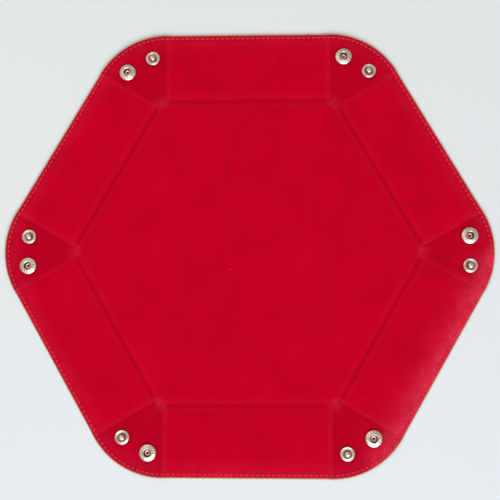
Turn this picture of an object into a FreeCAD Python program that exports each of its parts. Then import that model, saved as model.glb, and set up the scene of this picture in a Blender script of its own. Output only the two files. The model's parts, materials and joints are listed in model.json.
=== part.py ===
import FreeCAD, Part
import math
import os

# A hexagonal folding dice tray that snaps together at its corners, shown unsnapped and flat.
#
# Frame: +Z up, the tray lies on Z = 0, the origin is under the middle of the base.
# Corner 1 points along +X, corners are numbered anticlockwise, and wall 1 lies between corners 1 and 2.
#
# A leather backing and a velvet lining enclose a stiffener board in the base and in each wall. Between
# two walls the backing and lining alone make a soft gusset. It folds as a narrow spine and two flanks,
# which close velvet to velvet when the walls stand up. The left flank carries the socket of a snap
# fastener and the right flank its stud. Every fold axis lies at FOLD_Z, the level of the gusset's velvet.

# Driving dimensions (mm)
SIDES = 6
FOLD_APOTHEM = 90.4         # centre to the fold line of a wall
WALL_HEIGHT = 41.6          # fold line to rim
CORNER_RADIUS = 47.0        # rounding of the flat outline at each corner
CORNER_CUT = 1.7            # length that a gusset's spine takes from the end of each fold line

LEATHER = 0.9
BOARD = 1.5
LINING = 0.6
CAP_RISE = 1.0              # a snap's back cap stands this far out of the leather

FOLD_SLIT = 0.05            # half the slit between two sheets at a fold
BOARD_TO_FOLD = 1.6         # board edge to fold line, which leaves the groove
BOARD_TO_RIM = 5.0
BOARD_TO_CREASE = 1.9
BOARD_CORNER = 3.0          # rounding of a board's corners
WALL_TO_CREASE = 1.1        # clearance of the wall's sheets at the side crease
FLANK_TO_CREASE = 0.9       # clearance of the gusset flank at the side crease

SNAP_OUT = 26.1             # snap centre beyond the sharp corner of the fold lines
SNAP_SIDE = 8.75            # snap centre beside the gusset's centre line
POST_HOLE = 1.5             # radius of the hole that a snap's post goes through

# Sizes that follow from them
STEP = 360.0 / SIDES
HALF_STEP = math.radians(STEP / 2)
OUTER_APOTHEM = FOLD_APOTHEM + WALL_HEIGHT
INNER_CORNER = FOLD_APOTHEM / math.cos(HALF_STEP)
HALF_WALL = FOLD_APOTHEM * math.tan(HALF_STEP) - CORNER_CUT
SPINE_HALF = CORNER_CUT * math.cos(HALF_STEP)
SPINE_START = INNER_CORNER - CORNER_CUT * math.sin(HALF_STEP)
GUSSET_BOTTOM = CAP_RISE
GUSSET_MIDDLE = GUSSET_BOTTOM + LEATHER
FOLD_Z = GUSSET_MIDDLE + LINING
BOARD_BOTTOM = LEATHER
BOARD_TOP = LEATHER + BOARD
PADDED_TOP = BOARD_TOP + LINING
GROOVE_TOP = LEATHER + LINING
REACH = OUTER_APOTHEM * 1.3  # further out than any point of the tray

# Snap fastener profiles: (radius, height above the gusset's velvet). A pair of points in one entry is
# an arc: its middle, then its end.
BACK = -(LEATHER + LINING)
SOCKET_SHELL = [
    (1.5, 0.0), (4.6, 0.0), ((4.88, 0.12), (5.0, 0.4)), (5.0, 0.75), ((4.85, 1.08), (4.5, 1.26)),
    (3.3, 1.65), (2.95, 2.05), (2.5, 2.05), ((2.28, 1.97), (2.2, 1.75)), (2.2, 1.5), (2.5, 1.5),
    (2.5, 1.7), (2.8, 1.7), (3.1, 1.4), (4.3, 1.0), (4.65, 0.7), (4.65, 0.35), (1.5, 0.35),
]
CAP_AND_POST = [
    (0.0, BACK - CAP_RISE), (0.8, BACK - CAP_RISE), ((2.75, BACK - 0.876), (4.7, BACK - 0.5)),
    ((4.93, BACK - 0.3), (5.0, BACK)), (1.45, BACK), (1.45, 0.35), (2.1, 0.35), (2.1, 0.45), (0.75, 0.45),
    (0.75, BACK - 0.5), (0.0, BACK - 0.5),
]
STUD_SHELL = [
    (1.3, 0.0), (4.0, 0.0), ((4.17, 0.08), (4.22, 0.3)), (3.7, 0.65), (2.85, 0.65), (2.5, 0.4), (1.75, 0.4),
    (1.6, 0.7), (1.6, 1.4), ((2.0, 1.8), (1.6, 2.15)), ((1.15, 2.27), (0.6, 2.3)), (0.0, 2.3),
    (0.0, 2.0), (1.4, 1.9), (1.6, 1.75), (1.3, 1.4),
]
EYELET = [
    (0.95, BACK - 0.7), (3.6, BACK - 0.7), ((4.05, BACK - 0.55), (4.2, BACK - 0.2)), (4.2, BACK),
    (1.25, BACK), (1.25, 1.4), (1.45, 1.65), (1.2, 1.7), (0.95, 1.4),
]
SPRING_RING = 2.5           # radius of the ring spring inside the socket
SPRING_WIRE = 0.22          # radius of its wire
SPRING_HEIGHT = 1.2


def vector(x, y, z=0.0):
    return FreeCAD.Vector(x, y, z)


def prism(points, low, high):
    """A right prism over a polygon."""
    corners = [vector(x, y, low) for x, y in points]
    face = Part.Face(Part.makePolygon(corners + corners[:1]))
    return face.extrude(vector(0, 0, high - low))


def hexagon(apothem):
    radius = apothem / math.cos(HALF_STEP)
    angles = [math.radians(STEP * i) for i in range(SIDES)]
    return [(radius * math.cos(a), radius * math.sin(a)) for a in angles]


def rounded(shape, radius):
    """The shape with its vertical edges rounded."""
    upright = [e for e in shape.Edges if abs(e.tangentAt(e.FirstParameter).z) > 0.9]
    return shape.makeFillet(radius, upright)


def outline(low, high):
    """The whole flat tray between two heights."""
    return rounded(prism(hexagon(OUTER_APOTHEM), low, high), CORNER_RADIUS)


def turned(profile, height):
    """A solid of revolution about Z, from a profile above the given height."""
    places = [entry[-1] if isinstance(entry[0], tuple) else entry for entry in profile]
    points = [vector(r, 0, z + height) for r, z in places]
    edges = []
    for i, entry in enumerate(profile):
        start, end = points[i - 1], points[i]
        if isinstance(entry[0], tuple):
            middle = vector(entry[0][0], 0, entry[0][1] + height)
            edges.append(Part.Arc(start, middle, end).toShape())
        else:
            edges.append(Part.LineSegment(start, end).toShape())
    face = Part.Face(Part.Wire(edges))
    return face.revolve(vector(0, 0, 0), vector(0, 0, 1), 360)


def moved(shape, x, y, angle):
    """A copy of the shape, moved in the flat and then turned about the tray's centre."""
    copy = shape.copy()
    copy.translate(vector(x, y))
    copy.rotate(vector(0, 0), vector(0, 0, 1), angle)
    return copy


def save(name, *solids):
    shape = solids[0] if len(solids) == 1 else Part.makeCompound(list(solids))
    shape.exportStep("parts/" + name + ".step")


def slab(low, high):
    return Part.makeBox(2 * REACH, 2 * REACH, high - low, vector(-REACH, -REACH, low))


def panel(board, sheet, padded_area):
    """A board with the leather below it and the velvet that lies round it and rises over it."""
    pad = rounded(prism(padded_area, LEATHER, PADDED_TOP), BOARD_CORNER + LINING)
    flat = sheet.common(slab(LEATHER, GROOVE_TOP))
    lining = flat.fuse(pad).cut(board).removeSplitter()
    return {"board": board, "leather": sheet.common(slab(0, LEATHER)), "lining": lining}


def make_base():
    """The hexagonal base, cut across each corner where a gusset's spine begins."""
    sheet = prism(hexagon(FOLD_APOTHEM - FOLD_SLIT), 0, PADDED_TOP)
    for i in range(SIDES):
        beyond = Part.makeBox(REACH, REACH, PADDED_TOP, vector(SPINE_START - FOLD_SLIT, -REACH / 2, 0))
        sheet = sheet.cut(moved(beyond, 0, 0, STEP * i))
    apothem = FOLD_APOTHEM - BOARD_TO_FOLD
    board = rounded(prism(hexagon(apothem), BOARD_BOTTOM, BOARD_TOP), BOARD_CORNER)
    for part, solid in panel(board, sheet, hexagon(apothem + LINING)).items():
        save("base_" + part, solid)


def rectangle(inner, outer, half):
    return [(inner, -half), (outer, -half), (outer, half), (inner, half)]


def make_wall(number):
    """One wall, modelled pointing along +X and turned into place."""
    whole = moved(outline(0, PADDED_TOP), 0, 0, STEP / 2)
    area = rectangle(FOLD_APOTHEM + FOLD_SLIT, REACH, HALF_WALL - WALL_TO_CREASE)
    sheet = prism(area, 0, PADDED_TOP).common(whole)
    inner, outer = FOLD_APOTHEM + BOARD_TO_FOLD, OUTER_APOTHEM - BOARD_TO_RIM
    half = HALF_WALL - BOARD_TO_CREASE
    board = rounded(prism(rectangle(inner, outer, half), BOARD_BOTTOM, BOARD_TOP), BOARD_CORNER)
    padded = rectangle(inner - LINING, outer + LINING, half + LINING)
    for part, solid in panel(board, sheet, padded).items():
        save("wall_%d_%s" % (number, part), moved(solid, 0, 0, STEP * (number - 0.5)))


def flank_area(side):
    """The wedge between a gusset's spine and its wall. side is +1 for the left flank, -1 for the right."""
    crease = (math.cos(HALF_STEP), math.sin(HALF_STEP))
    start_x = SPINE_START + FLANK_TO_CREASE * crease[1]
    start_y = SPINE_HALF - FLANK_TO_CREASE * crease[0]
    spine_y = SPINE_HALF + FOLD_SLIT
    along = (spine_y - start_y) / crease[1]
    tip = (start_x + along * crease[0], spine_y)
    far = (start_x + REACH * crease[0], start_y + REACH * crease[1])
    points = [tip, (REACH, spine_y), far]
    return [(x, side * y) for x, y in points]


def sheet_pair(area, holes=()):
    """The leather and the velvet of a soft area, without a board."""
    layers = []
    for low, high in ((GUSSET_BOTTOM, GUSSET_MIDDLE), (GUSSET_MIDDLE, FOLD_Z)):
        layer = prism(area, low, high).common(outline(low, high))
        for x, y in holes:
            layer = layer.cut(Part.makeCylinder(POST_HOLE, high - low, vector(x, y, low)))
        layers.append(layer)
    return layers


def make_corner(number):
    """One gusset with its snap, modelled pointing along +X and turned into place."""
    angle = STEP * (number - 1)
    snap_x = INNER_CORNER + SNAP_OUT
    start = SPINE_START + FOLD_SLIT
    spine = sheet_pair(rectangle(start, REACH, SPINE_HALF - FOLD_SLIT))
    left = sheet_pair(flank_area(1), [(snap_x, SNAP_SIDE)])
    right = sheet_pair(flank_area(-1), [(snap_x, -SNAP_SIDE)])
    spring = Part.makeTorus(SPRING_RING, SPRING_WIRE, vector(0, 0, FOLD_Z + SPRING_HEIGHT))
    socket = [moved(s, snap_x, SNAP_SIDE, 0) for s in (turned(SOCKET_SHELL, FOLD_Z), spring)]
    cap = [moved(turned(CAP_AND_POST, FOLD_Z), snap_x, SNAP_SIDE, 0)]
    stud = [moved(turned(p, FOLD_Z), snap_x, -SNAP_SIDE, 0) for p in (STUD_SHELL, EYELET)]
    pieces = {
        "spine": spine, "left_flank": left, "right_flank": right,
        "snap_socket": socket, "snap_cap": cap, "snap_stud": stud,
    }
    for name, solids in pieces.items():
        save("corner_%d_%s" % (number, name), *[moved(s, 0, 0, angle) for s in solids])


os.makedirs("parts", exist_ok=True)
make_base()
for number in range(1, SIDES + 1):
    make_wall(number)
    make_corner(number)
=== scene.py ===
import json
import math
import bmesh
import bpy
import numpy as np
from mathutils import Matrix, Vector


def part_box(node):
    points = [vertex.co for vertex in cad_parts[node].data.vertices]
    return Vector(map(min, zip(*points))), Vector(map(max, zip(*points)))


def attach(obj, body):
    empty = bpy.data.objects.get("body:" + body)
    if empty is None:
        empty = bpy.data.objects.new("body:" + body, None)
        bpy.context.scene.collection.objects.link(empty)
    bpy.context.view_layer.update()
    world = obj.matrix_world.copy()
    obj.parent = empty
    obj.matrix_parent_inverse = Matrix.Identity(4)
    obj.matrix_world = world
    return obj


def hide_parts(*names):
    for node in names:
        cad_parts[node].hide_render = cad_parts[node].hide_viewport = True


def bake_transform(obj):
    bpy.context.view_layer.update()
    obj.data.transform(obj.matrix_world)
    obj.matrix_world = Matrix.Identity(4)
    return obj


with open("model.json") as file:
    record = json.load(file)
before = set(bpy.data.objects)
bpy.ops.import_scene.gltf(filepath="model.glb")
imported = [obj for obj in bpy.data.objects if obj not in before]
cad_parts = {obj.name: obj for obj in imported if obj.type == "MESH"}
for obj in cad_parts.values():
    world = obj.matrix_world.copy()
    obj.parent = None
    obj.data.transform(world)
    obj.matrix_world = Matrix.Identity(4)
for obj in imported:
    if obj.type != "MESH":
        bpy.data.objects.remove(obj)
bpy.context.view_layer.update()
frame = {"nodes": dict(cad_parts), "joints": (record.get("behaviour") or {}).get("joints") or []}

# The looks of a folding dice tray: velvet lining, leather backing, rim stitching and snap fasteners.
# Everything here is worked out in millimetres in the frame's axes, and becomes metres in new_object().
# Corner 1 points along +X and wall 1 lies between corners 1 and 2, as in the frame.

SIDES = 6
STEP = 2 * math.pi / SIDES
HALF_STEP = STEP / 2


# ---------------------------------------------------------------- sizes read from the frame

def node_box(node):
    low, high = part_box(node)
    return low * 1000, high * 1000


def joint_place(name):
    joint = next(j for j in frame["joints"] if j["name"] == name)
    return Vector(joint["pos_m"]) * 1000


FOLD_Z = joint_place("wall_1_fold").z
FOLD_APOTHEM = joint_place("wall_1_fold").xy.length
SPINE_START = joint_place("spine_1_fold").x
SPINE_HALF = joint_place("left_flank_1_fold").y
HALF_WALL = SPINE_START * math.sin(HALF_STEP) - SPINE_HALF * math.cos(HALF_STEP)

OUTER_APOTHEM = node_box("wall_2_leather")[1].y
CORNER_REACH = node_box("corner_1_spine")[1].x
CORNER_RADIUS = (OUTER_APOTHEM / math.cos(HALF_STEP) - CORNER_REACH) / (1 / math.cos(HALF_STEP) - 1)
ARC_CENTRE = CORNER_REACH - CORNER_RADIUS

LEATHER = node_box("base_leather")[1].z
BOARD = node_box("base_board")[1].z - LEATHER
LINING = node_box("base_lining")[1].z - node_box("base_board")[1].z
GUSSET_BOTTOM = node_box("corner_1_spine")[0].z
BASE_BOARD = node_box("base_board")[1].y
WALL_BOARD_LOW, WALL_BOARD_HIGH = node_box("wall_2_board")
SNAP_X = (node_box("corner_1_snap_socket")[0].x + node_box("corner_1_snap_socket")[1].x) / 2
SNAP_Y = (node_box("corner_1_snap_socket")[0].y + node_box("corner_1_snap_socket")[1].y) / 2

# ---------------------------------------------------------------- sizes of the soft parts

BEND = 1.8              # a sheet bends within this distance of a wall's fold line
SPINE_COVER = 1.6       # half the width of the strip over a spine
BOARD_CORNER = 3.0      # rounding of the boards' corners
EDGE_PILE = 0.15        # pile left over a board's edge, where the velvet is stretched
EDGE_FALL = 1.7         # the velvet falls off a board within this distance
EDGE_SLOW = 2.8         # extra width of that fall along the rim
EDGE_CROWN = 6.0        # it reaches its full thickness this far inside the board, and sooner at a fold
GROOVE_FILL = 0.60      # pile that stands in the grooves
FILL_WIDTH = 3.0        # spread of that pile to each side
GROOVE_LIFT = 0.35      # rise of the leather under the grooves
LIFT_WIDTH = 1.3        # spread of that rise to each side
SOFT_FALL = 1.9         # beside a gusset, the sheets come down from its height within this distance
SOFT_SLOW = 4.5         # extra width of that fall along the rim
SKIVE_WIDTH = 1.1       # the leather is pared thin this far from a side crease
RIM_LIFT = 0.45         # rise of the sewn rim, which has no board between its layers
RIM_REACH = 6.0         # distance from the cut edge at which that rise begins
RIM_SLOPE = 4.5         # and over which it grows
RIM_ROUND = 0.6         # rounding of the pile at the cut edge
RIM_DROP = 0.35         # how far the pile comes down there
PILE_SETBACK = 0.55     # the cut leather shows outside the velvet
STITCH_INSET = 2.5      # stitching to the cut edge
WALL_STITCHES = 33
FLANK_STITCHES = 7
STEPS_PER_STITCH = 8    # columns of the velvet's mesh
LEATHER_STEPS = 4
THREAD = 0.33           # radius of the thread
THREAD_TURNS = 9.0      # twist of the thread's plies, in radians a millimetre
STITCH_BOW = 0.16       # rise of a stitch between its needle holes
STITCH_SINK = 0.12      # depth of its ends in the holes
VELVET_PULL = 0.22      # how far the thread draws each face in at a hole
LEATHER_PULL = 0.2
SHARP_ANGLE = math.radians(50)      # edges that turn more than this stay hard
SNAP_PRESS = 5.0        # the socket's flange sinks the pile within this radius
PRESS_SLOPE = 1.2       # the pile comes back up over this distance
PRESS_DEPTH = 0.25
FLANKS = (("left", 1), ("right", -1))   # each gusset's flanks, and the side of the corner's axis they lie on


# ---------------------------------------------------------------- where a point lies on the flat tray

def turned(x, y, angle):
    """Places turned about the middle by an angle."""
    c, s = math.cos(angle), math.sin(angle)
    return x * c - y * s, x * s + y * c


def along_wall(x, y):
    """Distance out from the centre and distance along, in the frame of the nearest wall."""
    angle = np.arctan2(y, x)
    nearest = np.floor(angle / STEP) * STEP + HALF_STEP
    return x * np.cos(nearest) + y * np.sin(nearest), y * np.cos(nearest) - x * np.sin(nearest)


def along_corner(x, y):
    """The same in the frame of the nearest corner."""
    nearest = np.round(np.arctan2(y, x) / STEP) * STEP
    return x * np.cos(nearest) + y * np.sin(nearest), y * np.cos(nearest) - x * np.sin(nearest)


def smooth(t):
    """A rise from 0 to 1 without corners, as t goes from 0 to 1."""
    t = np.clip(t, 0, 1)
    return t * t * (3 - 2 * t)


def bell(distance, width, power=2):
    """1 at no distance, falling off smoothly. A higher power gives a flatter top."""
    return np.exp(-((distance / width) ** power))


def rounded_inside(a, b, half_a, half_b, radius):
    """Distance inside a rounded rectangle centred on the origin, negative outside."""
    da = np.abs(a) - half_a + radius
    db = np.abs(b) - half_b + radius
    outside = np.hypot(np.maximum(da, 0), np.maximum(db, 0)) + np.minimum(np.maximum(da, db), 0)
    return radius - outside


def hexagon_inside(x, y, apothem, radius):
    """Distance inside a rounded hexagon."""
    u, t = along_wall(x, y)
    flat = apothem - radius
    half = flat * math.tan(HALF_STEP)
    corner = np.hypot(u - flat, np.abs(t) - half)
    return np.where((u > flat) & (np.abs(t) > half), radius - corner, apothem - u)


def rim_distance(x, y):
    """Distance inside the cut edge."""
    return hexagon_inside(x, y, OUTER_APOTHEM, CORNER_RADIUS)


def from_crease(x, y):
    """Offsets from the inner end of the nearest side crease, then distances along it and across it."""
    p, q = along_corner(x, y)
    dp, dq = p - SPINE_START, np.abs(q) - SPINE_HALF
    ahead = dp * math.cos(HALF_STEP) + dq * math.sin(HALF_STEP)
    beside = dq * math.cos(HALF_STEP) - dp * math.sin(HALF_STEP)
    return dp, dq, ahead, beside


def gusset_distance(x, y):
    """Distance to the nearest gusset, 0 inside it."""
    dp, dq, ahead, beside = from_crease(x, y)
    off_edge = np.where(dq > 0, np.hypot(dp, dq), -dp)
    return np.where(ahead > 0, np.maximum(beside, 0), np.maximum(off_edge, 0))


def crease_distance(x, y):
    """Distance to the nearest side crease, on either side of it."""
    dp, dq, ahead, beside = from_crease(x, y)
    return np.where(ahead > 0, np.abs(beside), np.hypot(dp, dq))


def fold_distance(x, y):
    """Distance to the nearest fold line between base and wall."""
    u, t = along_wall(x, y)
    return np.hypot(u - FOLD_APOTHEM, np.maximum(np.abs(t) - HALF_WALL, 0))


def snap_distance(x, y):
    """Distance from the middle of the nearest snap."""
    p, q = along_corner(x, y)
    return np.hypot(p - SNAP_X, np.abs(q) - SNAP_Y)


def board_distance(x, y):
    """Distance inside the nearest board, negative outside."""
    u, t = along_wall(x, y)
    middle = (WALL_BOARD_LOW.y + WALL_BOARD_HIGH.y) / 2
    depth = (WALL_BOARD_HIGH.y - WALL_BOARD_LOW.y) / 2
    wall = rounded_inside(u - middle, t, depth, WALL_BOARD_HIGH.x, BOARD_CORNER)
    return np.maximum(hexagon_inside(x, y, BASE_BOARD, BOARD_CORNER), wall)


# ---------------------------------------------------------------- the stitch line

STITCH_RADIUS = CORNER_RADIUS - STITCH_INSET
SPINE_ANGLE = math.asin(SPINE_HALF / STITCH_RADIUS)
CREASE_ANGLE = HALF_STEP - math.asin((HALF_WALL - (OUTER_APOTHEM - CORNER_RADIUS) * math.tan(HALF_STEP))
                                     / STITCH_RADIUS)
WALL_PITCH = 2 * HALF_WALL / WALL_STITCHES
FLANK_PITCH = (CREASE_ANGLE - SPINE_ANGLE) / FLANK_STITCHES


def stitch_phase(x, y):
    """How far a place is from the nearest needle hole, measured along the stitch line."""
    _, t = along_wall(x, y)
    p, q = along_corner(x, y)
    angle = np.abs(np.arctan2(q, p - ARC_CENTRE))
    wall = (t + HALF_WALL) / WALL_PITCH
    flank = (angle - SPINE_ANGLE) / FLANK_PITCH
    spine = (angle + SPINE_ANGLE) / (2 * SPINE_ANGLE)
    in_wall = np.abs(t) < HALF_WALL
    phase = np.where(in_wall, wall, np.where(angle > SPINE_ANGLE, flank, spine))
    pitch = np.where(in_wall, WALL_PITCH, FLANK_PITCH * STITCH_RADIUS)
    return np.abs(phase - np.round(phase)) * pitch


def needle_dip(x, y):
    """How far the thread pulls a face in, from 0 to 1: most at the needle holes."""
    across = rim_distance(x, y) - STITCH_INSET
    hole = np.exp(-((stitch_phase(x, y) / 0.55) ** 2 + (across / 0.6) ** 2))
    return hole + 0.2 * bell(across, 1.1)


# ---------------------------------------------------------------- heights of the layers

def soft_rise(x, y):
    """1 on a gusset, falling to 0 beside it. The fall is wider along the rim, past the boards."""
    width = SOFT_FALL + SOFT_SLOW * smooth((7.0 - rim_distance(x, y)) / 4.0)
    return smooth(1 - gusset_distance(x, y) / width)


def warp(x, y):
    """The slight unevenness of cloth and board."""
    return (0.05 * np.sin(x / 17 + 1.3) * np.sin(y / 23 + 0.4)
            + 0.035 * np.sin(x / 7.1 - y / 9.3) * np.sin(y / 6.3 + x / 12)
            + 0.03 * np.sin((x + y) / 31))


def underside(x, y):
    """Where the leather would lie at its full thickness: raised on gussets, under grooves and at the rim."""
    rise = soft_rise(x, y)
    groove = GROOVE_LIFT * bell(fold_distance(x, y), LIFT_WIDTH)
    lift = RIM_LIFT * smooth((RIM_REACH - rim_distance(x, y)) / RIM_SLOPE)
    return GUSSET_BOTTOM * rise + (1 - rise) * np.maximum(groove, lift)


def leather_low(x, y):
    pared = 0.25 + 0.55 * smooth((rim_distance(x, y) - 1) / 4)
    skived = pared * smooth(1 - crease_distance(x, y) / SKIVE_WIDTH)
    return underside(x, y) + skived + LEATHER_PULL * needle_dip(x, y)


def leather_high(x, y):
    return underside(x, y) + LEATHER


def velvet_low(x, y):
    """The velvet's back: on the boards, and on the leather beside them and on the gussets."""
    return leather_high(x, y) + BOARD * smooth(board_distance(x, y) / 0.5 + 1) * (1 - 0.999 * soft_rise(x, y))


def velvet_high(x, y):
    """The pile: crowned over the boards, filling the grooves, pressed by the snaps, rounded at its edge."""
    rise = soft_rise(x, y)
    rim = rim_distance(x, y)
    inside = board_distance(x, y)
    near_fold = bell(fold_distance(x, y), 7)
    on_board = smooth(1 + inside / (EDGE_FALL + EDGE_SLOW * smooth((8 - rim) / 4))) * (1 - rise ** 6)
    crown = (LINING - EDGE_PILE) * smooth(inside / (EDGE_CROWN * (1 - 0.4 * near_fold)))
    fill = GROOVE_FILL * (1 - rise) * bell(fold_distance(x, y), FILL_WIDTH)
    bare = leather_high(x, y) + LINING + fill
    height = bare + (LEATHER + BOARD + EDGE_PILE - bare) * on_board + crown
    soft = np.minimum(crease_distance(x, y) / 4, 1) * smooth(rim / 3)
    pressed = PRESS_DEPTH * smooth((SNAP_PRESS + PRESS_SLOPE - snap_distance(x, y)) / PRESS_SLOPE)
    edge = RIM_DROP * np.clip(1 - (rim - PILE_SETBACK) / RIM_ROUND, 0, 1) ** 2
    return height + soft * warp(x, y) - pressed * rise - edge - VELVET_PULL * needle_dip(x, y)


# ---------------------------------------------------------------- meshes

def new_object(name, points, faces, smooth_faces=None):
    mesh = bpy.data.meshes.new(name)
    mesh.from_pydata((np.asarray(points) / 1000).tolist(), [], faces)
    obj = bpy.data.objects.new(name, mesh)
    bpy.context.scene.collection.objects.link(obj)
    flags = np.ones(len(faces), bool) if smooth_faces is None else smooth_faces
    mesh.polygons.foreach_set("use_smooth", flags)
    return obj


def remember_flat(obj):
    """Stores each point's place on the flat tray, in millimetres, so that patterns stay put when it folds."""
    co = np.zeros(len(obj.data.vertices) * 3, np.float32)
    obj.data.vertices.foreach_get("co", co)
    flat = obj.data.attributes.new("flat", "FLOAT_VECTOR", "POINT")
    flat.data.foreach_set("vector", co * 1000)
    return co.reshape(-1, 3) * 1000


def store(obj, name, values):
    attribute = obj.data.attributes.new(name, "FLOAT", "POINT")
    attribute.data.foreach_set("value", np.asarray(values, np.float32))


def closed_sheet(name, x, y, low, high, closed_round=False):
    """A thin closed body over a grid of places. Rows run outward and columns anticlockwise."""
    rows, columns = x.shape
    count = rows * columns
    top = np.stack([x, y, high(x, y)], -1).reshape(-1, 3)
    bottom = np.stack([x, y, low(x, y)], -1).reshape(-1, 3)
    index = np.arange(count).reshape(rows, columns)
    upper = np.stack([index[:-1, :-1], index[1:, :-1], index[1:, 1:], index[:-1, 1:]], -1).reshape(-1, 4)
    lower = upper[:, ::-1] + count
    rims = [index[-1, :]]
    if not closed_round:
        rims += [index[::-1, -1], index[0, ::-1], index[:, 0]]
    sides = [np.stack([r[:-1] + count, r[1:] + count, r[1:], r[:-1]], -1) for r in rims]
    faces = np.concatenate([lower, upper, *sides])
    flags = np.arange(len(faces)) < 2 * len(upper)
    obj = new_object(name, np.concatenate([top, bottom]), faces.tolist(), flags)
    inner = np.arange(len(faces)) >= len(lower)
    obj.data.polygons.foreach_set("material_index", inner.astype(np.int32))
    tidy(obj)
    area = np.abs((x[1:, 1:] - x[:-1, :-1]) * (y[:-1, 1:] - y[1:, :-1])
                  - (y[1:, 1:] - y[:-1, :-1]) * (x[:-1, 1:] - x[1:, :-1])).sum() / 2
    return obj, area / 1e6


def tidy(obj):
    """Joins points that lie together, as at a fan's tip, drops faces without area and marks sharp edges."""
    bm = bmesh.new()
    bm.from_mesh(obj.data)
    bmesh.ops.remove_doubles(bm, verts=bm.verts, dist=1e-7)
    bmesh.ops.dissolve_degenerate(bm, edges=bm.edges, dist=1e-7)
    bm.to_mesh(obj.data)
    bm.free()
    obj.data.set_sharp_from_angle(angle=SHARP_ANGLE)


def spaced(*stretches):
    """A run of distances: (start, end, steps) stretches joined end to end."""
    parts = [np.linspace(a, b, n, endpoint=False) for a, b, n in stretches]
    return np.concatenate(parts + [[stretches[-1][1]]])


# Panels that meet share their border points. The strip over a spine has columns at the distances
# SPINE_COLUMNS from the corner's axis, and the wall has rows where those columns end on the side crease.
# Past the strip's corner, the wall, the flank and the strip share the rows FLANK_ROWS, from 0 to 1.
CREASE_RUN = 1 / math.sin(HALF_STEP)    # length along a side crease for each millimetre from the axis
BEND_COLUMN = SPINE_HALF - BEND / CREASE_RUN
SPINE_COLUMNS = spaced((0, BEND_COLUMN, 2), (BEND_COLUMN, SPINE_COVER, 10))
TIP_X = SPINE_START + (SPINE_COVER - SPINE_HALF) / math.tan(HALF_STEP)
TIP_U = FOLD_APOTHEM + (SPINE_COVER - SPINE_HALF) * CREASE_RUN
FLANK_LENGTH = CORNER_REACH - TIP_X
FLANK_ROWS = spaced((0, 4, 14), (4, 8, 8), (8, FLANK_LENGTH - 9, 14), (FLANK_LENGTH - 9, FLANK_LENGTH, 27))
FLANK_ROWS = FLANK_ROWS / FLANK_LENGTH
NEAR_CORNER = 16        # wall columns near a corner that the base follows one by one


def wall_columns(steps):
    """Places along a wall, steps of them to a stitch."""
    return np.linspace(-HALF_WALL, HALF_WALL, WALL_STITCHES * steps + 1)


def wall_rim(t, setback):
    """Distance out to the cut edge at a place along a wall. Its ends already lie on the corners' arcs."""
    past = np.maximum(np.abs(t) - (OUTER_APOTHEM - CORNER_RADIUS) * math.tan(HALF_STEP), 0)
    return OUTER_APOTHEM - CORNER_RADIUS + np.sqrt((CORNER_RADIUS - setback) ** 2 - past ** 2)


def base_grid():
    """Rings of the base's outline, each a scaled copy of the last."""
    edge = FOLD_APOTHEM - BEND
    apothems = spaced((0, edge - 6, 30), (edge - 6, edge, 18)) / edge
    all_columns = wall_columns(STEPS_PER_STITCH)
    middle = all_columns[NEAR_CORNER:-NEAR_CORNER:STEPS_PER_STITCH]
    corner = edge * math.tan(HALF_STEP)
    share = np.concatenate([[-corner, -(corner + HALF_WALL) / 2], all_columns[:NEAR_CORNER], middle,
                            all_columns[-NEAR_CORNER:], [(corner + HALF_WALL) / 2]])
    sides = [turned(edge, share, STEP * (i + 0.5)) for i in range(SIDES)]
    x = np.concatenate([side[0] for side in sides] + [sides[0][0][:1]])
    y = np.concatenate([side[1] for side in sides] + [sides[0][1][:1]])
    return apothems[:, None] * x, apothems[:, None] * y


def wall_grid(number, steps, setback):
    """A wall with the groove inside it, from the base's edge to the rim."""
    t = wall_columns(steps)
    start = FOLD_APOTHEM - BEND
    end = wall_rim(HALF_WALL, setback)
    bend_rows = FOLD_APOTHEM + (SPINE_COLUMNS[2:-1] - SPINE_HALF) * CREASE_RUN
    rows = np.concatenate([bend_rows, TIP_U + FLANK_ROWS * (end - TIP_U)])
    share = (rows - start) / (end - start)
    u = start + share[:, None] * (wall_rim(t, setback) - start)
    return turned(u, np.broadcast_to(t, u.shape), STEP * (number - 0.5))


def rim_angle(direction, radius):
    """The angle about a corner's arc centre of the rim point in a direction from the strip's corner."""
    dx, dy = math.cos(direction), math.sin(direction)
    b = (TIP_X - ARC_CENTRE) * dx + SPINE_COVER * dy
    c = (TIP_X - ARC_CENTRE) ** 2 + SPINE_COVER ** 2 - radius ** 2
    reach = -b + math.sqrt(b * b - c)
    return math.atan2(SPINE_COVER + reach * dy, TIP_X + reach * dx - ARC_CENTRE)


def flank_grid(number, side, steps, setback):
    """A fan from the strip's corner, between the strip and the side crease, out to the rounded rim."""
    radius = CORNER_RADIUS - setback
    angles = np.linspace(rim_angle(0, radius), rim_angle(HALF_STEP, radius), FLANK_STITCHES * steps + 1)
    x = TIP_X + FLANK_ROWS[:, None] * (ARC_CENTRE + radius * np.cos(angles) - TIP_X)
    y = SPINE_COVER + FLANK_ROWS[:, None] * (radius * np.sin(angles) - SPINE_COVER)
    if side < 0:
        x, y = x[:, ::-1], -y[:, ::-1]
    return turned(x, y, STEP * (number - 1))


def spine_grid(number, setback):
    """The strip over a spine, from the base's corner to the rim."""
    y = np.concatenate([-SPINE_COLUMNS[:0:-1], SPINE_COLUMNS])
    off = np.abs(y)
    base_corner = (FOLD_APOTHEM - BEND) / math.cos(HALF_STEP)
    start = np.maximum(base_corner - off * math.tan(HALF_STEP),
                       SPINE_START + (off - SPINE_HALF) / math.tan(HALF_STEP))
    rim = ARC_CENTRE + np.sqrt((CORNER_RADIUS - setback) ** 2 - y ** 2)
    x = start + FLANK_ROWS[:, None] * (rim - start)
    return turned(x, np.broadcast_to(y, x.shape), STEP * (number - 1))


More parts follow.
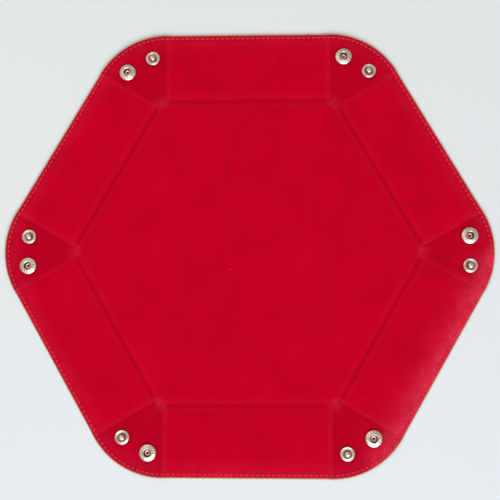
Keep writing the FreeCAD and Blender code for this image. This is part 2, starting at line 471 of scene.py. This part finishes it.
def at_corner(number, x, y):
    """A point on the table in metres, from millimetres in a corner's frame."""
    px, py = turned(x, y, STEP * (number - 1))
    return (px / 1000, py / 1000, 0.0)


# ---------------------------------------------------------------- materials

def material(name):
    made = bpy.data.materials.new(name)
    made.use_nodes = True
    nodes = made.node_tree.nodes
    return made, nodes, made.node_tree.links, nodes["Principled BSDF"]


def add(nodes, kind, **values):
    """A node with some of its properties or inputs set."""
    node = nodes.new(kind)
    for key, value in values.items():
        if hasattr(node, key):
            setattr(node, key, value)
        else:
            node.inputs[key.replace("_", " ")].default_value = value
    return node


def attribute(nodes, name):
    return add(nodes, "ShaderNodeAttribute", attribute_name=name)


def noise(nodes, links, vector, scale, detail=3.0, roughness=0.5):
    node = add(nodes, "ShaderNodeTexNoise", Scale=scale, Detail=detail, Roughness=roughness)
    links.new(vector, node.inputs["Vector"])
    return node.outputs["Fac"]


def remap(nodes, links, value, low, high, to_low, to_high):
    node = nodes.new("ShaderNodeMapRange")
    node.clamp = True
    for key, number in (("From Min", low), ("From Max", high), ("To Min", to_low), ("To Max", to_high)):
        node.inputs[key].default_value = number
    links.new(value, node.inputs["Value"])
    return node.outputs["Result"]


def math_node(nodes, links, operation, a, b):
    node = add(nodes, "ShaderNodeMath", operation=operation)
    for socket, value in zip(node.inputs, (a, b)):
        if isinstance(value, (int, float)):
            socket.default_value = value
        else:
            links.new(value, socket)
    return node.outputs["Value"]


def mix_colour(nodes, links, factor, a, b):
    node = nodes.new("ShaderNodeMix")
    node.data_type = "RGBA"
    for key, value in (("Factor", factor), ("A", a), ("B", b)):
        socket = next(s for s in node.inputs if s.name == key and s.enabled)
        if isinstance(value, (tuple, float, int)):
            socket.default_value = value
        else:
            links.new(value, socket)
    return next(s for s in node.outputs if s.enabled)


def bump(nodes, links, height, strength, distance, normal=None):
    node = add(nodes, "ShaderNodeBump", Strength=strength, Distance=distance)
    links.new(height, node.inputs["Height"])
    if normal is not None:
        links.new(normal, node.inputs["Normal"])
    return node.outputs["Normal"]


def stretched(nodes, links, vector, scale):
    node = nodes.new("ShaderNodeMapping")
    node.inputs["Scale"].default_value = scale
    links.new(vector, node.inputs["Vector"])
    return node.outputs["Vector"]


def velvet_material():
    """Short dense pile: blotches where the nap leans, faint lines along it, darker places of painted shade
    and crushed pile, and paler places of wear and painted sheen.
    """
    made, nodes, links, shader = material("velvet")
    flat = attribute(nodes, "flat").outputs["Vector"]
    blotches = noise(nodes, links, flat, 0.045, 4, 0.55)
    lines = noise(nodes, links, stretched(nodes, links, flat, (0.55, 0.03, 0.5)), 1.0, 3, 0.6)
    pile = noise(nodes, links, flat, 1.9, 3, 0.7)
    scuffs = noise(nodes, links, stretched(nodes, links, flat, (0.16, 0.75, 0.5)), 1.0, 3, 0.55)
    tone = mix_colour(nodes, links, remap(nodes, links, blotches, 0.32, 0.68, 0, 1),
                      (0.58, 0.0, 0.018, 1), (0.67, 0.0, 0.024, 1))
    tone = mix_colour(nodes, links, remap(nodes, links, lines, 0.35, 0.7, 0, 0.16),
                      tone, (0.76, 0.002, 0.036, 1))
    tone = mix_colour(nodes, links, remap(nodes, links, pile, 0.3, 0.7, 0.30, 0), tone, (0.42, 0.0, 0.010, 1))
    # Darker pile: painted shade in grooves, creases and needle holes and round the snaps, partly crushed
    # pile, and darker gussets.
    tone = mix_colour(nodes, links, attribute(nodes, "crush_and_shade").outputs["Fac"], tone, (0.28, 0.0, 0.006, 1))
    # Paler pile: worn base corners, paler strips beside creases and folds, a paler hem, and painted sheen
    # along the rim and along one wall.
    wear_and_sheen = attribute(nodes, "wear_and_sheen").outputs["Fac"]
    patchy = noise(nodes, links, flat, 0.16, 5, 0.65)
    wear_and_sheen = math_node(nodes, links, "MULTIPLY", wear_and_sheen, remap(nodes, links, patchy, 0.38, 0.62, 0.45, 1))
    tone = mix_colour(nodes, links, wear_and_sheen, tone, (0.78, 0.035, 0.080, 1))
    tone = mix_colour(nodes, links, remap(nodes, links, scuffs, 0.745, 0.80, 0, 0.35),
                      tone, (0.75, 0.07, 0.10, 1))
    links.new(tone, shader.inputs["Base Color"])
    shader.inputs["Roughness"].default_value = 0.95
    shader.inputs["Specular IOR Level"].default_value = 0.02
    shader.inputs["Sheen Weight"].default_value = 0.22
    shader.inputs["Sheen Roughness"].default_value = 0.35
    shader.inputs["Sheen Tint"].default_value = (1.0, 0.10, 0.18, 1)
    fine = bump(nodes, links, pile, 0.5, 0.00022)
    links.new(bump(nodes, links, lines, 0.12, 0.0004, fine), shader.inputs["Normal"])
    return made


def leather_material():
    """Brown leather with a pebbled grain and a satin finish."""
    made, nodes, links, shader = material("leather")
    flat = attribute(nodes, "flat").outputs["Vector"]
    cells = add(nodes, "ShaderNodeTexVoronoi", Scale=1.15, feature="DISTANCE_TO_EDGE")
    warped = noise(nodes, links, flat, 0.6, 2, 0.5)
    shifted = add(nodes, "ShaderNodeVectorMath", operation="ADD")
    links.new(flat, shifted.inputs[0])
    links.new(warped, shifted.inputs[1])
    links.new(shifted.outputs["Vector"], cells.inputs["Vector"])
    grain = remap(nodes, links, cells.outputs["Distance"], 0.0, 0.22, 0, 1)
    blotches = noise(nodes, links, flat, 0.05, 5, 0.6)
    tone = mix_colour(nodes, links, remap(nodes, links, blotches, 0.3, 0.7, 0, 1),
                      (0.150, 0.066, 0.028, 1), (0.215, 0.100, 0.044, 1))
    tone = mix_colour(nodes, links, remap(nodes, links, grain, 0, 0.6, 0.38, 0),
                      tone, (0.085, 0.036, 0.015, 1))
    # darker in the creases and grooves: painted shade
    tone = mix_colour(nodes, links, attribute(nodes, "crush_and_shade").outputs["Fac"], tone, (0.075, 0.032, 0.014, 1))
    links.new(tone, shader.inputs["Base Color"])
    links.new(remap(nodes, links, grain, 0, 1, 0.62, 0.42), shader.inputs["Roughness"])
    fine = bump(nodes, links, noise(nodes, links, flat, 5.0, 3, 0.6), 0.15, 0.0001)
    links.new(bump(nodes, links, grain, 0.8, 0.0002, fine), shader.inputs["Normal"])
    return made


def cut_edge_material():
    """The raw cut edge of the leather: paler, fibrous, in thin layers."""
    made, nodes, links, shader = material("leather_cut_edge")
    flat = attribute(nodes, "flat").outputs["Vector"]
    layers = noise(nodes, links, stretched(nodes, links, flat, (0.6, 0.6, 7.0)), 1.0, 4, 0.6)
    tone = mix_colour(nodes, links, remap(nodes, links, layers, 0.3, 0.7, 0, 1),
                      (0.44, 0.31, 0.17, 1), (0.62, 0.48, 0.29, 1))
    links.new(tone, shader.inputs["Base Color"])
    shader.inputs["Roughness"].default_value = 0.85
    links.new(bump(nodes, links, layers, 0.6, 0.0002), shader.inputs["Normal"])
    return made


def thread_material():
    """Twisted polyester thread, a little lighter and pinker than the velvet."""
    made, nodes, links, shader = material("thread")
    twist = attribute(nodes, "twist").outputs["Fac"]
    wave = math_node(nodes, links, "SINE", twist, 0)
    flat = attribute(nodes, "flat").outputs["Vector"]
    uneven = noise(nodes, links, flat, 0.9, 2, 0.5)
    tone = mix_colour(nodes, links, remap(nodes, links, uneven, 0.35, 0.65, 0, 1),
                      (0.84, 0.040, 0.075, 1), (0.94, 0.060, 0.100, 1))
    tone = mix_colour(nodes, links, remap(nodes, links, wave, -1, 0.2, 0.4, 0), tone, (0.60, 0.012, 0.034, 1))
    links.new(tone, shader.inputs["Base Color"])
    shader.inputs["Roughness"].default_value = 0.55
    shader.inputs["Specular IOR Level"].default_value = 0.15
    shader.inputs["Sheen Weight"].default_value = 0.15
    shader.inputs["Sheen Tint"].default_value = (1.0, 0.25, 0.30, 1)
    links.new(bump(nodes, links, wave, 0.5, 0.0001), shader.inputs["Normal"])
    return made


def metal_material(name, colour, stain):
    """Bright plate, with a faint stain and hairline scratches."""
    made, nodes, links, shader = material(name)
    place = attribute(nodes, "flat").outputs["Vector"]
    cloud = noise(nodes, links, place, 0.8, 4, 0.6)
    scratch = noise(nodes, links, stretched(nodes, links, place, (9.0, 0.9, 3.0)), 1.0, 3, 0.7)
    tone = mix_colour(nodes, links, remap(nodes, links, cloud, 0.45, 0.75, 0, 0.7), colour, stain)
    # darker places of painted shade and painted reflection, with some grime
    tone = mix_colour(nodes, links, attribute(nodes, "grime_shade_reflection").outputs["Fac"], tone, (0.36, 0.18, 0.14, 1))
    links.new(tone, shader.inputs["Base Color"])
    shader.inputs["Metallic"].default_value = 1.0
    links.new(remap(nodes, links, cloud, 0.3, 0.7, 0.26, 0.40), shader.inputs["Roughness"])
    links.new(bump(nodes, links, scratch, 0.05, 0.00004), shader.inputs["Normal"])
    return made


def board_material():
    """Grey pressed board: a fibrous speckle."""
    made, nodes, links, shader = material("pressed_board")
    place = nodes.new("ShaderNodeTexCoord").outputs["Object"]
    fibre = noise(nodes, links, place, 900, 5, 0.7)
    tone = mix_colour(nodes, links, remap(nodes, links, fibre, 0.35, 0.65, 0, 1),
                      (0.20, 0.18, 0.15, 1), (0.34, 0.31, 0.27, 1))
    links.new(tone, shader.inputs["Base Color"])
    shader.inputs["Roughness"].default_value = 0.9
    links.new(bump(nodes, links, fibre, 0.3, 0.0001), shader.inputs["Normal"])
    return made


VELVET = velvet_material()
LEATHER_SKIN = leather_material()
LEATHER_EDGE = cut_edge_material()
THREAD_RED = thread_material()
NICKEL = metal_material("nickel", (0.86, 0.80, 0.72, 1), (0.70, 0.59, 0.47, 1))
# The spring's steel is darker than the plate, partly its own tone and partly painted shade inside the socket.
SHADED_SPRING_STEEL = metal_material("spring_steel_shaded", (0.50, 0.47, 0.43, 1), (0.33, 0.28, 0.23, 1))
PRESSED_BOARD = board_material()


# ---------------------------------------------------------------- velvet and leather

# How strongly the pile is marked in each place. The first table darkens it: painted shade in grooves, creases
# and needle holes and round the snaps, partly crushed pile, and darker gussets. The second pales it: wear at
# the base's corners, paler strips beside creases and folds, painted sheen along the rim and on one wall, and
# a paler hem.
CRUSH_AND_SHADE = {"groove": 0.34, "crease": 0.14, "gusset": 0.20, "hole": 0.9, "snap": 0.2}
WEAR_AND_SHEEN = {"corner": 0.33, "crease": 0.10, "fold": 0.06, "wall_sheen": 1.25, "rim": 0.12, "hem": 0.21}
SHEEN_WALL = 6        # the wall painted with sheen along its rim
SHEEN_FADE = 5        # the painted sheen fades inwards over this distance, and ends at the distance below
SHEEN_REACH = 25


def crushed_and_shaded(x, y):
    """How much darker the pile is painted: painted shade in grooves, creases and needle holes, partly crushed
    pile there, painted shade and pressed pile round the snaps, and darker gussets.
    """
    _, t = along_wall(x, y)
    groove = bell(fold_distance(x, y), 1.1) * smooth((HALF_WALL + 1 - np.abs(t)) / 6)
    crease = bell(crease_distance(x, y), 1.7)
    gusset = smooth(1 - gusset_distance(x, y) / 1.5)
    hole = np.exp(-(((rim_distance(x, y) - STITCH_INSET) / 0.5) ** 2 + (stitch_phase(x, y) / 0.5) ** 2))
    snap = smooth((SNAP_PRESS + PRESS_SLOPE - snap_distance(x, y)) / PRESS_SLOPE)
    marks = CRUSH_AND_SHADE["groove"] * groove + CRUSH_AND_SHADE["crease"] * crease + CRUSH_AND_SHADE["gusset"] * gusset
    return np.clip(marks + CRUSH_AND_SHADE["hole"] * hole + CRUSH_AND_SHADE["snap"] * snap, 0, 1)


def rim_sheen_and_hem(x, y):
    """Paler pile along the rim: a paler hem outside the stitching, a soft band of painted sheen, and painted
    sheen along one wall.
    """
    rim = rim_distance(x, y)
    off_wall = np.cos(np.arctan2(y, x) - STEP * (SHEEN_WALL - 0.5))
    beyond = smooth((math.cos(HALF_STEP) + 0.03 - off_wall) / 0.05)
    wall_sheen = WEAR_AND_SHEEN["wall_sheen"] * (1 - beyond) * np.exp(-(rim - STITCH_INSET) / SHEEN_FADE)
    # painted sheen in a soft band along the rim
    rim_sheen_band = bell(rim - 5.0, 4.5)
    hem = smooth((STITCH_INSET + 0.6 - rim) / 1.2)
    return wall_sheen * (rim < SHEEN_REACH) + WEAR_AND_SHEEN["rim"] * rim_sheen_band + WEAR_AND_SHEEN["hem"] * hem


def wear_and_sheen(x, y):
    """Where the pile is painted paler: wear at the base's corners, paler strips beside creases and folds, and
    painted sheen and a paler hem along the rim.
    """
    p, q = along_corner(x, y)
    corner = bell(np.hypot(p - SPINE_START + 0.5, q * 0.8), 2.6)
    crease = bell(crease_distance(x, y) - 2.4, 1.4) * (gusset_distance(x, y) > 0)
    fold = bell(fold_distance(x, y) - 2.6, 1.2)
    marks = WEAR_AND_SHEEN["corner"] * corner + WEAR_AND_SHEEN["crease"] * crease + WEAR_AND_SHEEN["fold"] * fold
    return np.clip(marks + rim_sheen_and_hem(x, y), 0, 1)


def finish_velvet(obj):
    flat = remember_flat(obj)
    store(obj, "crush_and_shade", crushed_and_shaded(flat[:, 0], flat[:, 1]))
    store(obj, "wear_and_sheen", wear_and_sheen(flat[:, 0], flat[:, 1]))
    obj.data.materials.append(VELVET)


def finish_leather(obj):
    """Darkens the leather in its creases and grooves: painted shade."""
    flat = remember_flat(obj)
    x, y = flat[:, 0], flat[:, 1]
    crease = 0.5 * bell(crease_distance(x, y), 1.2)
    groove = 0.5 * bell(fold_distance(x, y), 1.2)
    store(obj, "crush_and_shade", np.clip(crease + groove, 0, 1))
    obj.data.materials.append(LEATHER_SKIN)
    obj.data.materials.append(LEATHER_EDGE)


SETBACK = {"velvet": PILE_SETBACK, "leather": 0.0}


def layer(name, grid, kind, closed_round=False):
    """One panel of velvet or leather. The leather's inner face and its edges are raw."""
    low, high = (velvet_low, velvet_high) if kind == "velvet" else (leather_low, leather_high)
    obj, area = closed_sheet(name + "_sheet", *grid, low, high, closed_round)
    if kind == "velvet":
        obj.data.polygons.foreach_set("material_index", np.zeros(len(obj.data.polygons), np.int32))
        finish_velvet(obj)
    else:
        finish_leather(obj)
    return obj, area


def follow_flank(obj):
    """Bakes the placement of a piece between a gusset's spine and one of its flanks into its points; it is
    not bent.
    """
    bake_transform(obj)


def make_base():
    for kind, node in (("velvet", "base_lining"), ("leather", "base_leather")):
        obj, area = layer("base_" + kind, base_grid(), kind, True)
        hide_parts(node)
        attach(obj, "base")


def make_wall(number):
    for kind, part, steps in (("velvet", "lining", STEPS_PER_STITCH), ("leather", "leather", LEATHER_STEPS)):
        name = "wall_%d" % number
        grid = wall_grid(number, steps, SETBACK[kind])
        obj, area = layer(name + "_" + kind, grid, kind)
        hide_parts(name + "_" + part)
        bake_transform(obj)


def make_gusset(number):
    corner = "corner_%d" % number
    for kind, steps in (("velvet", STEPS_PER_STITCH), ("leather", LEATHER_STEPS)):
        obj, area = layer("%s_spine_%s" % (corner, kind), spine_grid(number, SETBACK[kind]), kind)
        if kind == "velvet":
            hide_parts(corner + "_spine")
        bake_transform(obj)
        for word, side in FLANKS:
            name = "%s_%s_flank_%s" % (corner, word, kind)
            obj, area = layer(name, flank_grid(number, side, steps, SETBACK[kind]), kind)
            if kind == "velvet":
                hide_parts("%s_%s_flank" % (corner, word))
            follow_flank(obj)


# ---------------------------------------------------------------- stitching

def thread_tube(path, radius, sides=8):
    """Points, faces and twist of a round thread along a path of (rows, 3) points that is nowhere upright."""
    rows = len(path)
    ahead = np.gradient(path, axis=0)
    ahead /= np.linalg.norm(ahead, axis=1, keepdims=True)
    across = np.cross(ahead, (0.0, 0.0, 1.0))
    across /= np.linalg.norm(across, axis=1, keepdims=True)
    up = np.cross(across, ahead)
    angles = np.arange(sides) * 2 * math.pi / sides
    points = (path[:, None] + radius * (np.cos(angles)[:, None] * across[:, None]
                                        + np.sin(angles)[:, None] * up[:, None])).reshape(-1, 3)
    length = np.concatenate([[0], np.cumsum(np.linalg.norm(np.diff(path, axis=0), axis=1))])
    twist = (length[:, None] * THREAD_TURNS + 2 * angles[None, :]).reshape(-1)
    faces = []
    for row in range(rows - 1):
        for k in range(sides):
            a, b = row * sides + k, row * sides + (k + 1) % sides
            faces.append((a, b, b + sides, a + sides))
    faces.append(tuple(range(sides - 1, -1, -1)))
    faces.append(tuple((rows - 1) * sides + k for k in range(sides)))
    return points, faces, twist


def stitch_path(start, end, height, side):
    """A stitch between two needle holes. side is 1 on the velvet and -1 on the leather."""
    share = np.linspace(0.17, 0.83, 11)
    middle = share[:, None] * (np.asarray(end) - start) + start
    x, y = middle[:, 0], middle[:, 1]
    bow = np.minimum(1, (1 - np.abs(2 * share - 1)) / 0.42)
    arch = STITCH_BOW * np.sin(bow * math.pi / 2) + 0.30 * needle_dip(x, y) * bow
    z = height(x, y) + side * (arch - STITCH_SINK)
    return np.column_stack([x, y, z])


def wall_holes(number):
    """The needle holes along a wall's rim."""
    t = np.linspace(-HALF_WALL, HALF_WALL, WALL_STITCHES + 1)
    u = np.full(len(t), OUTER_APOTHEM - STITCH_INSET)
    return np.column_stack(turned(u, t, STEP * (number - 0.5)))


def corner_holes(number, angles):
    """The needle holes at some angles round a corner's arc."""
    x = ARC_CENTRE + STITCH_RADIUS * np.cos(angles)
    y = STITCH_RADIUS * np.sin(angles)
    return np.column_stack(turned(x, y, STEP * (number - 1)))


def stitching(name, holes):
    """The needle thread and the bobbin thread of one run of needle holes, as one piece."""
    points, faces, twist = [], [], []
    for height, side in ((velvet_high, 1), (leather_low, -1)):
        for start, end in zip(holes[:-1], holes[1:]):
            p, f, w = thread_tube(stitch_path(start, end, height, side), THREAD)
            offset = sum(len(part) for part in points)
            faces += [tuple(i + offset for i in face) for face in f]
            points.append(p)
            twist.append(w)
    obj = new_object(name, np.concatenate(points), faces)
    remember_flat(obj)
    store(obj, "twist", np.concatenate(twist))
    obj.data.materials.append(THREAD_RED)
    return obj


def make_stitching():
    for number in range(1, SIDES + 1):
        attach(stitching("wall_%d_stitching" % number, wall_holes(number)), "wall_%d" % number)
        ends = np.array([-SPINE_ANGLE, SPINE_ANGLE])
        obj = stitching("corner_%d_spine_stitching" % number, corner_holes(number, ends))
        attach(obj, "spine_%d" % number)
        for word, side in FLANKS:
            angles = side * np.linspace(SPINE_ANGLE, CREASE_ANGLE, FLANK_STITCHES + 1)
            name = "corner_%d_%s_flank_stitching" % (number, word)
            follow_flank(stitching(name, corner_holes(number, angles)))


# ---------------------------------------------------------------- snap fasteners

BACK = GUSSET_BOTTOM - FOLD_Z       # the leather's face, from the velvet's
CAP_BOTTOM = -FOLD_Z                # the cap reaches the table


def dome(radius, low, high):
    """The part of a profile that rounds over from its widest place to its top on the axis."""
    return [(radius * math.cos(a), low + (high - low) * math.sin(a)) for a in np.linspace(0, math.pi / 2, 9)]


# Profiles: radius and height above the gusset's velvet. Each goes once round the metal's section.
SOCKET = [(1.5, 0.0), (4.7, 0.0), (5.0, 0.3), (5.0, 0.72), (4.8, 1.06), (4.45, 1.24), (3.3, 1.62),
          (3.15, 1.66), (2.95, 1.98), (2.5, 2.03), (2.2, 1.8), (2.2, 1.5), (2.4, 1.48), (2.52, 1.72),
          (2.85, 1.72), (3.1, 1.38), (4.3, 0.96), (4.65, 0.68), (4.65, 0.35), (1.5, 0.35)]
CAP = [(0.0, CAP_BOTTOM), (1.2, CAP_BOTTOM), (2.9, CAP_BOTTOM + 0.1), (4.4, CAP_BOTTOM + 0.38),
       (4.95, CAP_BOTTOM + 0.75), (5.0, BACK), (1.45, BACK), (1.45, 0.33), (2.05, 0.33), (2.1, 0.42),
       (1.5, 0.52), (1.0, 0.46), (0.75, 0.2), (0.75, BACK - 0.5), (0.0, BACK - 0.5)]
STUD = [(1.3, 0.0), (3.98, 0.0), (4.22, 0.2), (4.16, 0.44), (3.85, 0.61), (3.6, 0.61), (3.38, 0.5),
        (3.15, 0.61), (2.85, 0.64), (2.55, 0.42), (1.85, 0.4), (1.6, 0.75), (1.62, 1.0),
        *dome(1.92, 1.15, 2.34), (0.0, 2.0), (1.4, 1.75), (1.5, 1.6), (1.3, 1.4)]
EYELET = [(0.95, BACK - 0.7), (3.5, BACK - 0.7), (4.1, BACK - 0.45), (4.2, BACK), (1.25, BACK), (1.25, 1.35),
          (1.45, 1.62), (1.2, 1.7), (0.95, 1.35)]
SPRING_RADIUS = 2.5
SPRING_WIRE = 0.22
SPRING_HEIGHT = 1.2
PIPS = 16               # raised pips round the socket's shoulder
PIP_RADIUS = 3.8
PIP_HEIGHT = 0.13
PIP_SHOULDER = 1.25     # they stand on the part of the profile above this height
PROFILE_ROUND = 0.14    # rounding of a profile's corners
FINEST = 0.16           # longest step along a turned profile
ON_AXIS = 1e-6          # a profile's points within this radius lie on its axis


def softened(profile, size):
    """The closed profile with each corner off the axis rounded by a short curve."""
    made = []
    count = len(profile)
    for i, corner in enumerate(profile):
        corner = np.array(corner)
        before, after = np.array(profile[i - 1]), np.array(profile[(i + 1) % count])
        if corner[0] < ON_AXIS:
            made.append([corner])
            continue
        back = before - corner
        ahead = after - corner
        reach_back = min(size, 0.45 * np.linalg.norm(back))
        reach_ahead = min(size, 0.45 * np.linalg.norm(ahead))
        start = corner + back / np.linalg.norm(back) * reach_back
        end = corner + ahead / np.linalg.norm(ahead) * reach_ahead
        made.append([(1 - s) ** 2 * start + 2 * s * (1 - s) * corner + s * s * end
                     for s in (0, 0.25, 0.5, 0.75, 1)])
    points = []
    for bend, following in zip(made, made[1:] + made[:1]):
        points += bend
        straight = following[0] - bend[-1]
        steps = int(np.linalg.norm(straight) / FINEST)
        if bend[-1][0] > ON_AXIS or following[0][0] > ON_AXIS:
            points += [bend[-1] + straight * k / (steps + 1) for k in range(1, steps + 1)]
    return points


def lathe(name, profile, segments=72, pips=False):
    """A turned piece about the Z axis, standing on the gusset's velvet."""
    section = np.array(softened(profile, PROFILE_ROUND))
    angles = np.arange(segments) * 2 * math.pi / segments
    r, z = section[:, 0][:, None], section[:, 1][:, None] + FOLD_Z
    lift = 0
    if pips:
        ring = bell(r - PIP_RADIUS, 0.3, 4) * (z - FOLD_Z > PIP_SHOULDER)
        lift = PIP_HEIGHT * ring * smooth(1.8 * np.cos(PIPS * angles) + 0.2)
    points = np.stack(np.broadcast_arrays(r * np.cos(angles), r * np.sin(angles), z + lift), -1)
    rows = len(section)
    faces = []
    for i in range(rows):
        j = (i + 1) % rows
        for k in range(segments):
            m = (k + 1) % segments
            faces.append((i * segments + k, i * segments + m, j * segments + m, j * segments + k))
    obj = new_object(name, points.reshape(-1, 3), faces)
    tidy(obj)
    return obj


def spring_ring(name):
    """The ring spring that grips the stud: a loop of wire with a gap."""
    angles = np.linspace(0.2, 2 * math.pi - 0.2, 60)
    path = np.column_stack([SPRING_RADIUS * np.cos(angles), SPRING_RADIUS * np.sin(angles),
                            np.full(60, FOLD_Z + SPRING_HEIGHT)])
    points, faces, _ = thread_tube(path, SPRING_WIRE)
    return new_object(name, points, faces)


def grime_shade_reflection(radius, height):
    """Darker places on the velvet's side: painted shade inside the socket, in the stud's flange ring and
    where flanges meet the pile, painted reflection of the velvet and surroundings round the stud's knob and
    neck, darker round the pips, and some grime. Radius and height are as in the profiles.
    """
    groove = bell(radius - 2.25, 0.6, 4) * smooth((0.75 - height) / 0.3)            # round the stud's knob: painted reflection of the velvet, and some grime
    # the knob's flank: painted reflection of its surroundings
    neck = 0.6 * smooth((2.16 - height) / 0.35) * smooth((height - 0.7) / 0.3) * bell(radius - 1.75, 0.45, 4)
    ring = 0.5 * bell(radius - 3.38, 0.14) * smooth((0.62 - height) / 0.1)          # a ring in the stud's flange: painted shade in its groove
    throat = 1.1 * smooth((2.5 - radius) / 0.3) * smooth((1.75 - height) / 0.3)     # inside the socket: painted shade
    throat = throat * smooth((radius - 1.2) / 0.3)
    # darker round the pips on the socket's shoulder
    between = smooth((1.44 - height + (PIP_RADIUS - radius) * 0.33) / 0.1)
    pips = 0.65 * bell(radius - PIP_RADIUS, 0.45, 4) * (height > 1.2) * between
    hem = 0.5 * smooth((0.5 - height) / 0.4) * (radius > 3.9)                       # where flanges meet pile: painted shade
    return np.clip(0.7 * groove + neck + ring + 0.9 * throat + pips + hem, 0, 1) * (height > BACK / 2)


def place_snap(obj, number, side, body, node, metal):
    """Moves a turned piece onto its flank and makes it ride there."""
    x, y, _ = at_corner(number, SNAP_X, side * SNAP_Y)
    local = remember_flat(obj)
    store(obj, "grime_shade_reflection", grime_shade_reflection(np.hypot(local[:, 0], local[:, 1]), local[:, 2] - FOLD_Z))
    co = np.zeros(len(obj.data.vertices) * 3, np.float32)
    obj.data.vertices.foreach_get("co", co)
    co = co.reshape(-1, 3)
    co[:, 0], co[:, 1] = turned(co[:, 0], co[:, 1], STEP * (number - 1))
    obj.data.vertices.foreach_set("co", (co + (x, y, 0)).astype(np.float32).ravel())
    obj.data.materials.append(metal)
    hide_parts(node)
    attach(obj, body)


def make_snaps():
    for number in range(1, SIDES + 1):
        corner = "corner_%d" % number
        left, right = "left_flank_%d" % number, "right_flank_%d" % number
        socket = lathe(corner + "_socket", SOCKET, 160, pips=True)
        place_snap(socket, number, 1, left, corner + "_snap_socket", NICKEL)
        spring = spring_ring(corner + "_socket_spring")
        place_snap(spring, number, 1, left, corner + "_snap_socket", SHADED_SPRING_STEEL)
        place_snap(lathe(corner + "_cap", CAP), number, 1, left, corner + "_snap_cap", NICKEL)
        place_snap(lathe(corner + "_stud", STUD), number, -1, right, corner + "_snap_stud", NICKEL)
        place_snap(lathe(corner + "_eyelet", EYELET), number, -1, right, corner + "_snap_stud", NICKEL)


# ---------------------------------------------------------------- stage

CAMERA_PLACE = (0.01654, -0.04465, 0.4729)      # metres
CAMERA_TILT = (5.484, 1.827, 0.074)     # degrees about X, Y and Z
CAMERA_LENS = 57.6
FLOOR_HALF = 2500       # millimetres


def floor_material():
    made, nodes, links, shader = material("pale_floor")
    place = nodes.new("ShaderNodeTexCoord").outputs["Object"]
    cloud = noise(nodes, links, place, 3, 2, 0.5)
    links.new(mix_colour(nodes, links, cloud, (0.86, 0.89, 0.91, 1), (0.89, 0.92, 0.94, 1)),
              shader.inputs["Base Color"])
    shader.inputs["Roughness"].default_value = 0.6
    return made


def area_light(name, place, aim, size, power, colour):
    light = bpy.data.lights.new(name, "AREA")
    light.size = size
    light.energy = power
    light.color = colour
    obj = bpy.data.objects.new(name, light)
    obj.location = place
    obj.rotation_euler = (Vector(aim) - Vector(place)).to_track_quat("-Z", "Y").to_euler()
    bpy.context.scene.collection.objects.link(obj)


def make_stage():
    corners = [(a * FLOOR_HALF, b * FLOOR_HALF, 0) for a, b in ((-1, -1), (1, -1), (1, 1), (-1, 1))]
    floor = new_object("floor", corners, [(0, 1, 2, 3)])
    floor.data.materials.append(floor_material())
    area_light("key", (0.37, -2.12, 2.10), (0, 0, 0), 2.4, 61, (0.95, 1.18, 1.28))
    area_light("soft", (-0.35, 0.30, 0.75), (-0.05, 0, 0), 0.6, 0.9, (1.0, 0.92, 0.86))
    world = bpy.data.worlds.new("studio")
    world.use_nodes = True
    world.node_tree.nodes["Background"].inputs["Color"].default_value = (1.0, 0.83, 0.74, 1)
    world.node_tree.nodes["Background"].inputs["Strength"].default_value = 0.44
    bpy.context.scene.world = world
    camera = bpy.data.cameras.new("camera")
    camera.lens = CAMERA_LENS
    camera.sensor_width = 36.0
    obj = bpy.data.objects.new("camera", camera)
    obj.location = CAMERA_PLACE
    obj.rotation_euler = [math.radians(a) for a in CAMERA_TILT]
    bpy.context.scene.collection.objects.link(obj)
    bpy.context.scene.camera = obj
    bpy.context.scene.view_settings.view_transform = "Standard"


def dress_boards():
    """The stiffener boards are the frame's own, inside the sheets."""
    for name, node in frame["nodes"].items():
        if name.endswith("board"):
            node.data.materials.clear()
            node.data.materials.append(PRESSED_BOARD)


make_base()
for number in range(1, SIDES + 1):
    make_wall(number)
    make_gusset(number)
make_stitching()
make_snaps()
dress_boards()
make_stage()
